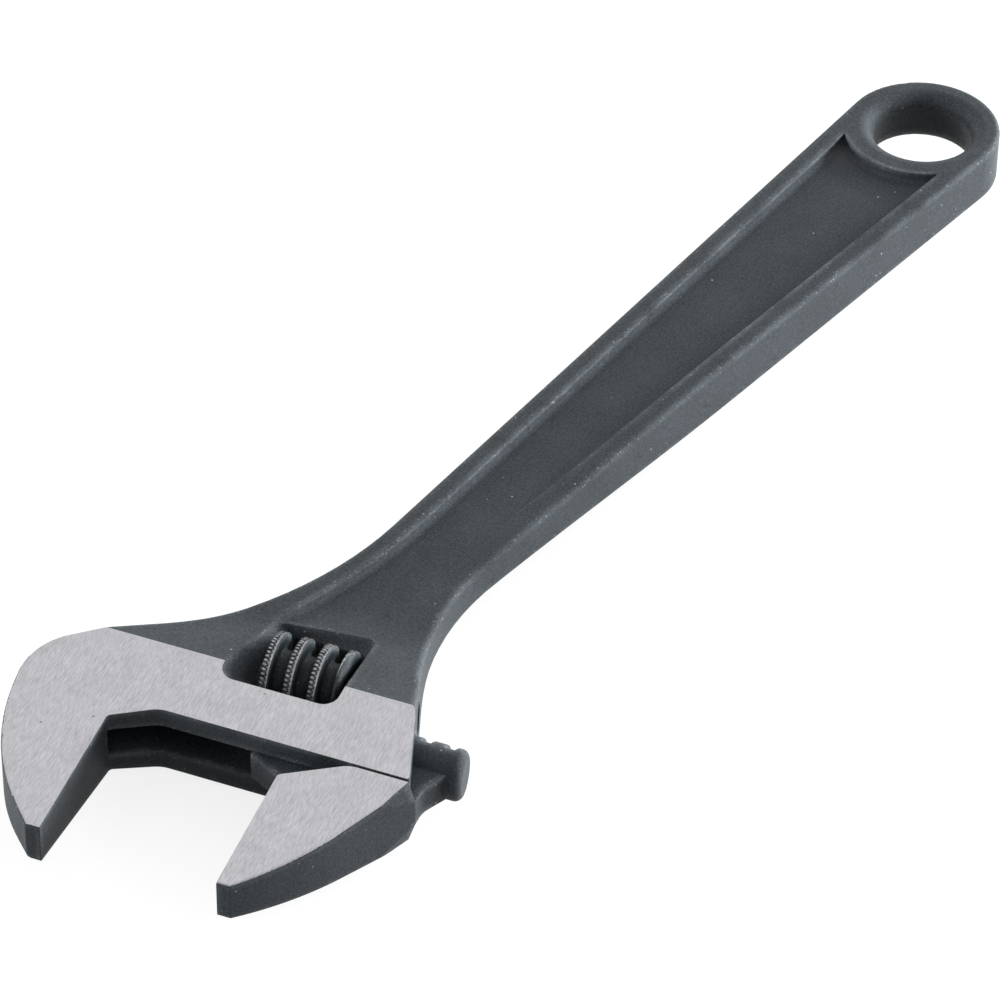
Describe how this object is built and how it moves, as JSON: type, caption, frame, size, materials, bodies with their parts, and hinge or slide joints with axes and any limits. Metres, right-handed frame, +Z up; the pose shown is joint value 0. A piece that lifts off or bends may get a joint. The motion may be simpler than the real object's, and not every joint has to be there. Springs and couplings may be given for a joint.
{
  "type": "adjustable wrench",
  "caption": "Adjustable wrench with an angled head, a sliding jaw moved by a thumb-turned worm, and a sunk-panel handle ending in a hanging ring.",
  "frame": {"origin": "centre of the hanging hole, halfway through the handle's thickness", "axes": "+X along the handle to the head, +Y to the side of the movable jaw, +Z up along the hanging hole"},
  "size_m": [0.2051, 0.0574, 0.013],
  "materials": {
    "body_steel": "black phosphate on the forging, ground satin on both flats of the head",
    "jaw_steel": "black phosphate on the forging, ground satin on both flats",
    "knurl_steel": "black phosphate with burnished ridge crests",
    "pin_steel": "blackened",
    "spring_steel": "bright drawn wire"
  },
  "bodies": {
    "wrench_body": {"body": "body_steel", "knurl_pin": "pin_steel"},
    "movable_jaw": {"jaw": "jaw_steel"},
    "worm": {"knurl": "knurl_steel", "knurl_spring": "spring_steel"}
  },
  "joints": [
    {"name": "knurl_turn", "type": "hinge", "parent": "wrench_body", "child": "worm", "pos_m": [0.14927, 0.00148, 0], "axis": [-0.2588, 0.9659, 0], "range_deg": [-117, 2632]},
    {"name": "jaw_slide", "type": "slide", "parent": "wrench_body", "child": "movable_jaw", "axis": [-0.2588, 0.9659, 0], "range_m": [-0.02485, 0.0011]}
  ],
  "couplings": [
    {"joint": "knurl_turn", "follows": "jaw_slide", "rad_per_m": -1848}
  ]
}
